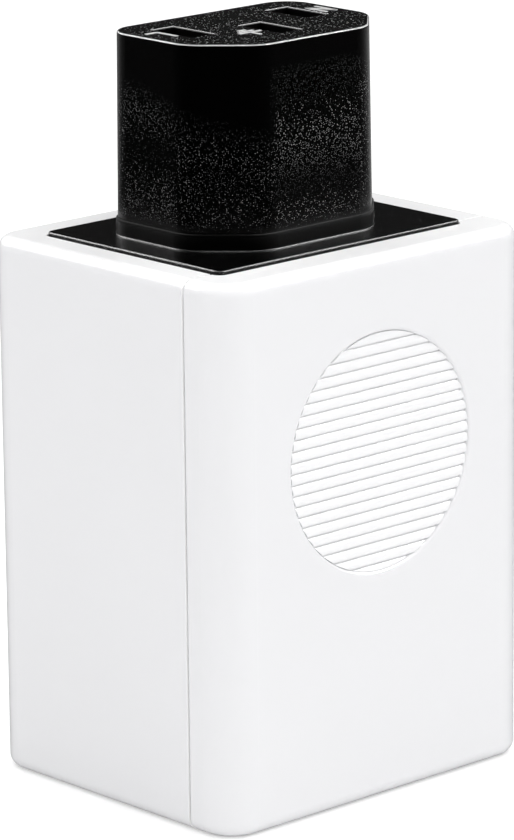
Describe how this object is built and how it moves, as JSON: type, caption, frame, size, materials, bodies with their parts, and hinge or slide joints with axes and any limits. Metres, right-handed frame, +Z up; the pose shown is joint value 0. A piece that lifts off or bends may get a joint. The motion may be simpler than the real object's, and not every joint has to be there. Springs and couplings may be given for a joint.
{
  "type": "mains dc blocker",
  "caption": "Upright white two-shell case with a ribbed round medallion in front, a black mains socket standing out of its top and a recessed mains inlet in its underside.",
  "frame": {"origin": "middle of the case's footprint, on the surface it stands on", "axes": "+Z up through the outlet, -Y towards the front face with the medallion, +X to the right along the front"},
  "size_m": [0.038, 0.032, 0.0693],
  "materials": {
    "case_white": "polished moulded plastic",
    "socket_black": "spark-textured moulded plastic",
    "contact_bronze": "formed sheet",
    "pin_nickel": "nickel plated",
    "board_green": "solder mask",
    "can_sleeve": "shrunk sleeve",
    "epoxy_black": "moulded epoxy",
    "film_box_yellow": "moulded box",
    "varistor_blue": "dipped coating",
    "resistor_beige": "lacquered",
    "wire_brown": "extruded insulation",
    "wire_blue": "extruded insulation",
    "wire_green": "extruded insulation"
  },
  "bodies": {
    "root": {"front_shell": "case_white", "rear_shell": "case_white", "outlet_body": "socket_black", "outlet_cover": "socket_black", "inlet_body": "socket_black", "outlet_contact_live": "contact_bronze", "outlet_contact_neutral": "contact_bronze", "outlet_contact_earth": "contact_bronze", "inlet_pin_live": "pin_nickel", "inlet_pin_neutral": "pin_nickel", "inlet_pin_earth": "pin_nickel", "circuit_board": "board_green", "blocking_capacitor_1": "can_sleeve", "blocking_capacitor_2": "can_sleeve", "blocking_capacitor_3": "can_sleeve", "blocking_capacitor_4": "can_sleeve", "live_bridge": "epoxy_black", "neutral_bridge": "epoxy_black", "suppression_capacitor": "film_box_yellow", "surge_varistor": "varistor_blue", "bleed_resistor": "resistor_beige", "inlet_live_wire": "wire_brown", "outlet_live_wire": "wire_brown", "inlet_neutral_wire": "wire_blue", "outlet_neutral_wire": "wire_blue", "earth_wire": "wire_green"}
  },
  "joints": []
}
